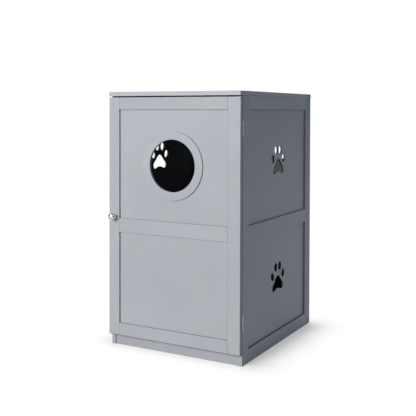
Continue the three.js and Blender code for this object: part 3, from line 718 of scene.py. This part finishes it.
def curve_points(start, handle, other, end):
    points = []
    for i in range(1, CURVE_STEPS + 1):
        t = i / CURVE_STEPS
        points.append(start * (1 - t) ** 3 + handle * 3 * t * (1 - t) ** 2
                      + other * 3 * t * t * (1 - t) + end * t ** 3)
    return points


def on_pad(across, up):
    return Vector((across * PAD["width"] / 2, PAD["top"] + up * PAD["height"]))


def pad_loop(middle):
    notch = PAD["notch"] / PAD["height"] - 1
    to_notch = ((NOTCH_HANDLES[0], -1), (NOTCH_HANDLES[1], notch), (0, notch))
    right = [on_pad(0, 0)]
    for curve in (*PAD_CURVES, to_notch):
        right += curve_points(right[-1], *(on_pad(*point) for point in curve))
    left = [Vector((-point.x, point.y)) for point in reversed(right[1:-1])]
    return [middle + point * MM for point in right + left]


def paw_loops(height):
    middle = Vector((PAW_Y, height))
    loops = [pad_loop(middle)]
    for toe in (INNER_TOE, OUTER_TOE):
        for side in (-1, 1):
            place = middle + Vector((side * toe["out"], toe["up"])) * MM
            loops.append(ellipse(place, toe["width"] * MM, toe["height"] * MM,
                                 math.radians(-side * toe["tilt"])))
    return loops


def side_infills():
    for side in ("left", "right"):
        for storey in ("upper", "lower"):
            node = f"{side}_{storey}_infill"
            low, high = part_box(node)
            mesh = plate(node, [rectangle(low.y, high.y, low.z, high.z),
                                *paw_loops(PAW_HEIGHT[storey])],
                         low.x, high.x - low.x, lay_on_side, SIDE_INFILL_EASE)
            material = paint(f"paint_{node}", low, high, "z", with_inside(PAW_WALL_SHADES, side),
                             SEEDS[node])
            stand_in(node, mesh, material, "cabinet")


def door_infill_and_ring():
    node = "door_upper_infill"
    low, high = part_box(node)
    ring_low, ring_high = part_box("entrance_ring")
    middle = ((ring_low.x + ring_high.x) / 2, (ring_low.z + ring_high.z) / 2)
    hole = circle(middle, ENTRANCE_RADIUS, ENTRANCE_STEPS)
    mesh = plate(node, [rectangle(low.x, high.x, low.z, high.z), hole],
                 low.y, high.y - low.y, lay_on_front, THIN_BOARD_EASE)
    material = paint(f"paint_{node}", low, high, "z", with_inside({}, "door"), SEEDS[node])
    stand_in(node, mesh, material, "door")

    node = "entrance_ring"
    outline = circle(middle, (ring_high.x - ring_low.x) / 2, RING_STEPS)
    mesh = plate(node, [outline, hole], ring_low.y, ring_high.y - ring_low.y, lay_on_front,
                 RING_EASE, RING_EASE_STEPS)
    material = paint(f"paint_{node}", ring_low, ring_high, "z", RING_SHADES, SEEDS[node])
    stand_in(node, mesh, material, "door")


def back_panel():
    node = "back_panel"
    low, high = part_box(node)
    middle = (low.x + high.x) / 2
    vents = [circle((middle + side * VENT_X, VENT_Z), VENT_RADIUS, VENT_STEPS)
             for side in (-1, 1)]
    mesh = plate(node, [rectangle(low.x, high.x, low.z, high.z), *vents],
                 low.y, high.y - low.y, lay_on_front, THIN_BOARD_EASE)
    material = paint(f"paint_{node}", low, high, "z", BACK_SHADES, SEEDS[node])
    stand_in(node, mesh, material, "cabinet")


def shelf():
    node = "mid_shelf"
    low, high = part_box(node)
    left, right = PASSAGE_X
    far = high.y - PASSAGE_FROM_BACK
    near = far - PASSAGE_DEPTH
    r = PASSAGE_CORNER
    passage = []
    for u, v, start in ((right - r, near + r, -90), (right - r, far - r, 0),
                        (left + r, far - r, 90), (left + r, near + r, 180)):
        for i in range(CORNER_STEPS + 1):
            angle = math.radians(start + 90 * i / CORNER_STEPS)
            passage.append(Vector((u + r * math.cos(angle), v + r * math.sin(angle))))
    mesh = plate(node, [rectangle(low.x, high.x, low.y, high.y), passage],
                 low.z, high.z - low.z, lay_flat, SHELF_EASE, SHELF_EASE_STEPS)
    # painted shade over the whole shelf, as on all that looks into the cabinet
    material = paint(f"paint_{node}", low, high, "x", seed=SEEDS[node], level=INSIDE_PAINTED_SHADE)
    stand_in(node, mesh, material, "cabinet")


# ---------------------------------------------------------------- knob

# Radius and distance from the door, in millimetres
KNOB_PROFILE = (
    (0, 0), (7.6, 0), (8.0, 0.35), (8.0, 1.3), (7.6, 1.8), (6.7, 2.3), (5.7, 3.2), (5.1, 4.6),
    (4.9, 6.6), (5.2, 8.6), (6.4, 10.4), (8.8, 12.0), (11.0, 13.9), (12.2, 16.0), (12.5, 17.8),
    (12.1, 19.7), (10.8, 21.5), (8.6, 23.0), (5.6, 24.0), (2.6, 24.4), (0, 24.5),
)
KNOB_CURVE_STEPS = 4
KNOB_STEPS = 96
KNOB_SMOOTH = 50  # degrees


def smooth_profile(points):
    """A curve through all the points, in Catmull and Rom's way."""
    padded = [points[0], *points, points[-1]]
    out = [points[0]]
    for i in range(1, len(padded) - 2):
        p0, p1, p2, p3 = (np.array(padded[i + k], float) for k in (-1, 0, 1, 2))
        for step in range(1, KNOB_CURVE_STEPS + 1):
            t = step / KNOB_CURVE_STEPS
            point = 0.5 * (2 * p1 + (p2 - p0) * t + (2 * p0 - 5 * p1 + 4 * p2 - p3) * t * t
                           + (3 * p1 - p0 - 3 * p2 + p3) * t ** 3)
            out.append((max(0.0, float(point[0])), float(point[1])))
    return out


def knob():
    low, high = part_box("door_knob")
    foot = Vector(((low.x + high.x) / 2, high.y, (low.z + high.z) / 2))
    curved = [KNOB_PROFILE[0], *smooth_profile(KNOB_PROFILE[1:-1]), KNOB_PROFILE[-1]]
    profile = [(radius * MM, along * MM) for radius, along in curved]
    mesh = turned("door_knob", profile, foot, (0, -1, 0), KNOB_STEPS)
    stand_in("door_knob", mesh, FITTING["nickel"], "door", KNOB_SMOOTH)


# ---------------------------------------------------------------- screws

# Radii of the head and the shank, the head's height, and half the length of the cross recess
LEAF_SCREW = {"head": 2.6 * MM, "height": 0.45 * MM, "shank": 1.5 * MM, "cross": 1.5 * MM}
CATCH_SCREW = {"head": 2.8 * MM, "height": 1.8 * MM, "shank": 1.5 * MM, "cross": 1.7 * MM}
KNOB_SCREW = {"head": 4.0 * MM, "height": 2.2 * MM, "shank": 2.0 * MM, "cross": 2.3 * MM}
CROSS_WIDTH = 0.3         # of its half length
CROSS_DEPTH = 0.8         # of the head's height
TIP_RADIUS = 0.15         # of the shank's
HEAD_EASE, HEAD_EASE_STEPS = 0.06 * MM, 2
SCREW_SMOOTH = 40         # degrees


def cross_loop(reach, width):
    """The outline of a cross recess."""
    h = width / 2
    corners = [(reach, h), (h, h), (h, reach), (-h, reach), (-h, h), (-reach, h)]
    loop = corners + [(-u, -v) for u, v in corners]
    return [Vector(point) for point in loop]


def screw(node, body, sizes, axis, sign, material):
    """A screw with a cross recess. Its head's face looks along sign times axis."""
    low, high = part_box(node)
    along = AXES[axis]
    face = high if sign > 0 else low
    origin = (low + high) / 2
    origin[along] = face[along]
    length = high[along] - low[along]
    direction = Vector((0, 0, 0))
    direction[along] = sign
    side = direction.orthogonal().normalized()
    other = direction.cross(side)
    head, height, shank = sizes["head"], sizes["height"], sizes["shank"]
    depth = height * CROSS_DEPTH

    def lay(u, v, w):
        return origin + side * u + other * v + direction * (w - depth)

    top = plate("head", [circle((0, 0), head, SMALL_STEPS),
                         cross_loop(sizes["cross"], sizes["cross"] * CROSS_WIDTH)],
                0, depth, lay, HEAD_EASE, HEAD_EASE_STEPS)
    profile = [(0, 0), (shank * TIP_RADIUS, 0), (shank, shank), (shank, length - height),
               (head, length - height), (head, length - depth), (0, length - depth)]
    rest = turned("shank", profile, origin - direction * length, direction, SMALL_STEPS)
    stand_in(node, joined(node, [top, rest]), material, body, SCREW_SMOOTH)


# ---------------------------------------------------------------- hinges and fastenings

KNUCKLE_RADIUS = 2.8 * MM
BORE_RADIUS = 1.35 * MM
PIN_RADIUS = 1.25 * MM
MIDDLE_KNUCKLE = 20 * MM
KNUCKLE_GAP = 0.3 * MM
KNUCKLE_CHAMFER = 0.35 * MM
PIN_FLAT = 0.7                # radius of a pin's nearly flat end, as a share of the pin's
PIN_END = 0.02 * MM           # how far that end falls away from its middle
PIN_CHAMFER = 0.35            # length of the chamfer round it, as a share of the pin's radius
LEAF_THICKNESS = 0.8 * MM
LEAF_FROM_AXIS = 0.9 * MM     # the hinge's axis to a leaf's face by the wood
LEAF_REACH = 0.6              # of the knuckle's radius, past which a leaf doesn't run
LEAF_HOLE_ROOM = 0.1 * MM
LEAF_EASE, LEAF_EASE_STEPS = 0.12 * MM, 2
HINGE_SMOOTH = 35             # degrees

CAM_EASE, CAM_EASE_STEPS = 0.25 * MM, 2
CATCH_EASES = {
    "catch_housing": ("plastic", 0.5 * MM),
    "catch_magnet": ("ferrite", 0.25 * MM),
    "strike_plate": ("zinc", 0.15 * MM),
}


def knuckle(axis, start, end):
    """A rolled knuckle round its bore, with chamfered ends."""
    length = end - start
    r, bore, c = KNUCKLE_RADIUS, BORE_RADIUS, KNUCKLE_CHAMFER
    profile = [(bore, 0), (r - c, 0), (r, c), (r, length - c), (r - c, length), (bore, length),
               (bore, 0)]
    return turned("knuckle", profile, Vector((axis.x, axis.y, start)), (0, 0, 1), SMALL_STEPS)


def leaf_plate(low_x, axis, front, span, notches, screw_x, screw_heights):
    """A hinge leaf's flat part: notched beside the other leaf's knuckles, with two screw holes."""
    high_x = axis.x - KNUCKLE_RADIUS * LEAF_REACH
    notch_x = axis.x - KNUCKLE_RADIUS - KNUCKLE_GAP
    outline = [Vector((low_x, span[0]))]
    level = span[0]
    for start, end in notches:
        if start > level:
            outline += [Vector((high_x, level)), Vector((high_x, start))]
        outline += [Vector((notch_x, start)), Vector((notch_x, end))]
        level = end
    if level < span[1]:
        outline += [Vector((high_x, level)), Vector((high_x, span[1]))]
    outline.append(Vector((low_x, span[1])))
    holes = [circle((screw_x, z), LEAF_SCREW["head"] + LEAF_HOLE_ROOM, SMALL_STEPS)
             for z in screw_heights]
    return plate("leaf", [outline, *holes], front, LEAF_THICKNESS, lay_on_front, LEAF_EASE,
                 LEAF_EASE_STEPS)


def hinge(name):
    pin_low, pin_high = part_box(f"{name}_hinge_pin")
    axis = (pin_low + pin_high) / 2
    low, high = pin_low.z, pin_high.z
    mid_low = axis.z - MIDDLE_KNUCKLE / 2
    mid_high = axis.z + MIDDLE_KNUCKLE / 2
    gap = KNUCKLE_GAP / 2
    steel = FITTING["hinge"]
    heights = []
    for place in ("lower", "upper"):
        screw_low, screw_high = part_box(f"{name}_hinge_door_{place}_screw")
        heights.append((screw_low.z + screw_high.z) / 2)
        screw_x = (screw_low.x + screw_high.x) / 2
        screw(f"{name}_hinge_door_{place}_screw", "door", LEAF_SCREW, "y", 1, steel)
        screw(f"{name}_hinge_frame_{place}_screw", "cabinet", LEAF_SCREW, "y", -1, steel)

    leaf_low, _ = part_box(f"{name}_hinge_door_leaf")
    door_leaf = [
        leaf_plate(leaf_low.x, axis, axis.y - LEAF_FROM_AXIS, (low, high),
                   [(low, mid_low + gap), (mid_high - gap, high)], screw_x, heights),
        knuckle(axis, mid_low + gap, mid_high - gap),
    ]
    stand_in(f"{name}_hinge_door_leaf", joined("leaf", door_leaf), steel, "door", HINGE_SMOOTH)

    leaf_low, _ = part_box(f"{name}_hinge_frame_leaf")
    frame_leaf = [
        leaf_plate(leaf_low.x, axis, axis.y + LEAF_FROM_AXIS - LEAF_THICKNESS, (low, high),
                   [(mid_low - gap, mid_high + gap)], screw_x, heights),
        knuckle(axis, low, mid_low - gap),
        knuckle(axis, mid_high + gap, high),
    ]
    stand_in(f"{name}_hinge_frame_leaf", joined("leaf", frame_leaf), steel, "cabinet",
             HINGE_SMOOTH)

    r = PIN_RADIUS
    length = high - low
    profile = [(0, 0), (r * PIN_FLAT, PIN_END), (r, r * PIN_CHAMFER),
               (r, length - r * PIN_CHAMFER), (r * PIN_FLAT, length - PIN_END), (0, length)]
    pin = turned("pin", profile, Vector((axis.x, axis.y, low)), (0, 0, 1), SMALL_STEPS)
    stand_in(f"{name}_hinge_pin", pin, FITTING["pin"], "cabinet", HINGE_SMOOTH)


def fastenings():
    zinc = FITTING["zinc"]
    screw("strike_screw", "door", LEAF_SCREW, "y", 1, zinc)
    screw("knob_screw", "door", KNOB_SCREW, "y", 1, zinc)
    for side in ("left", "right"):
        screw(f"catch_{side}_screw", "cabinet", CATCH_SCREW, "z", 1, zinc)
        for place in ("front", "back"):
            for part in ("cam", "cam_bolt"):
                node = f"{side}_{place}_{part}"
                ease_edges(node, CAM_EASE, CAM_EASE_STEPS)
                slot_material(node, zinc)
    for node, (material, width) in CATCH_EASES.items():
        ease_edges(node, width)
        slot_material(node, FITTING[material])


# ---------------------------------------------------------------- stage and light

# The floor glows white to the camera and in gloss. Within the spans of x and y in SHADOW_FROM the
# glow is only FLOOR_GLOW, and the floor's own colour keeps the shadow. Outside them, what it keeps
# halves with each SHADOW_HALVES.
SHADOW_FROM = ((-0.25, 0.26), (-0.22, 0.26))
SHADOW_HALVES = 65 * MM
FLOOR_REACH = 14.0
FLOOR_WHITE, FLOOR_GLOW = 0.95, 0.30
FLOOR_TINT = (1.0, 0.92, 0.85)                   # times FLOOR_WHITE, so that shadows are neutral
FLOOR_BOUNCE = (0.30, 0.31, 0.33)                # its colour in the light that it throws back
FLOOR_GRAIN = {"scale": 40, "detail": 4}
FLOOR_GRAIN_TONES = (0.99, 1.0)

AMBIENT = (0.72, 0.865, 1.045)
AMBIENT_LEVEL = 0.278

# What gloss shows of the world: height, from 0 straight down to 1 straight up, and level
STUDIO = ((0.48, 1.0), (0.505, 0.1), (0.60, 0.1), (0.64, 1.0), (0.82, 1.0), (0.88, 0.1))

# Soft lamps: place, what they look at, side and watts
LAMPS = {
    "key": ((-2.7, -9.6, 3.2), (0, -0.3, 0.45), 5.0, 778),
    "back": ((-4.2, 7.2, 3.4), (0, 0.3, 0.45), 4.0, 240),
}


def seen_ray(tree):
    """1 for the rays that show the background: from the camera, and off or through a surface."""
    paths = tree.add("ShaderNodeLightPath")
    bounced = tree.math("MAXIMUM", paths.outputs["Is Glossy Ray"],
                        paths.outputs["Is Transmission Ray"])
    return tree.math("MAXIMUM", paths.outputs["Is Camera Ray"], bounced)


def shadow_distance(tree, place):
    """How far a point of the floor is from the ground that keeps its shadow, in metres."""
    at = tree.split(place)
    squares = []
    for axis, (low, high) in enumerate(SHADOW_FROM):
        off = tree.math("MAXIMUM", tree.outside(at[axis], low, high), 0.0)
        squares.append(tree.math("MULTIPLY", off, off))
    return tree.math("SQRT", tree.math("ADD", *squares))


def make_stage():
    mesh = bpy.data.meshes.new("floor")
    reach = FLOOR_REACH
    corners = [(-reach, -reach, 0), (reach, -reach, 0), (reach, reach, 0), (-reach, reach, 0)]
    mesh.from_pydata(corners, [], [(0, 1, 2, 3)])
    floor = bpy.data.objects.new("floor", mesh)
    bpy.context.scene.collection.objects.link(floor)
    material = bpy.data.materials.new("floor")
    tree = Tree(material)
    seen = seen_ray(tree)
    place = tree.add("ShaderNodeTexCoord").outputs["Object"]
    halvings = tree.math("DIVIDE", shadow_distance(tree, place), SHADOW_HALVES)
    near = tree.math("POWER", 0.5, halvings)
    grain = tree.ramp(tree.noise(place, **FLOOR_GRAIN), *NOISE_SPAN, *FLOOR_GRAIN_TONES)
    kept = tree.product(grain, FLOOR_WHITE, near)
    white = tree.join([tree.math("MULTIPLY", kept, part) for part in FLOOR_TINT])
    diffuse = tree.add("ShaderNodeBsdfDiffuse")
    tree.put(diffuse.inputs["Color"], tree.mix(seen, colour(*FLOOR_BOUNCE), white))
    glow = tree.add("ShaderNodeEmission")
    tree.put(glow.inputs["Strength"],
             tree.math("MULTIPLY", seen, tree.ramp(near, 0.0, 1.0, 1.0, FLOOR_GLOW)))
    both = tree.add("ShaderNodeAddShader")
    tree.links.new(diffuse.outputs[0], both.inputs[0])
    tree.links.new(glow.outputs[0], both.inputs[1])
    tree.finish(both.outputs[0], "ShaderNodeOutputMaterial")
    mesh.materials.append(material)


def make_world():
    """White for what the camera sees, and soft bluish light for the rest. Gloss shows a studio:
    white, with a dimmer band of room above the floor and a dimmer ceiling."""
    world = bpy.data.worlds.new("studio")
    bpy.context.scene.world = world
    tree = Tree(world)
    up = tree.split(tree.add("ShaderNodeTexCoord").outputs["Generated"])[2]
    studio = tree.add("ShaderNodeValToRGB")
    tree.put(studio.inputs[0], tree.math("MULTIPLY_ADD", up, 0.5, 0.5))
    stops = studio.color_ramp.elements
    stops[0].position, stops[1].position = STUDIO[0][0], STUDIO[-1][0]
    for height, level in STUDIO[1:-1]:
        stops.new(height)
    for stop, (height, level) in zip(stops, STUDIO):
        stop.color = colour(level, level, level)
    glossy = tree.add("ShaderNodeLightPath").outputs["Is Glossy Ray"]
    shown = tree.mix(glossy, colour(1, 1, 1), studio.outputs[0])
    soft = colour(*(part * AMBIENT_LEVEL for part in AMBIENT))
    background = tree.add("ShaderNodeBackground")
    tree.put(background.inputs["Color"], tree.mix(seen_ray(tree), soft, shown))
    tree.finish(background.outputs[0], "ShaderNodeOutputWorld")


def make_lamps():
    for name, (place, target, side, watts) in LAMPS.items():
        data = bpy.data.lights.new(name, "AREA")
        data.shape = "SQUARE"
        data.size = side
        data.energy = watts
        lamp = bpy.data.objects.new(name, data)
        lamp.location = place
        look = Vector(target) - Vector(place)
        lamp.rotation_euler = look.to_track_quat("-Z", "Y").to_euler()
        bpy.context.scene.collection.objects.link(lamp)


# ---------------------------------------------------------------- assembly

make_camera()
make_stage()
make_world()
make_lamps()
bpy.context.scene.view_settings.view_transform = "Standard"
make_fitting_materials()
dress_boards()
side_infills()
door_infill_and_ring()
back_panel()
shelf()
knob()
hinge("lower")
hinge("upper")
fastenings()
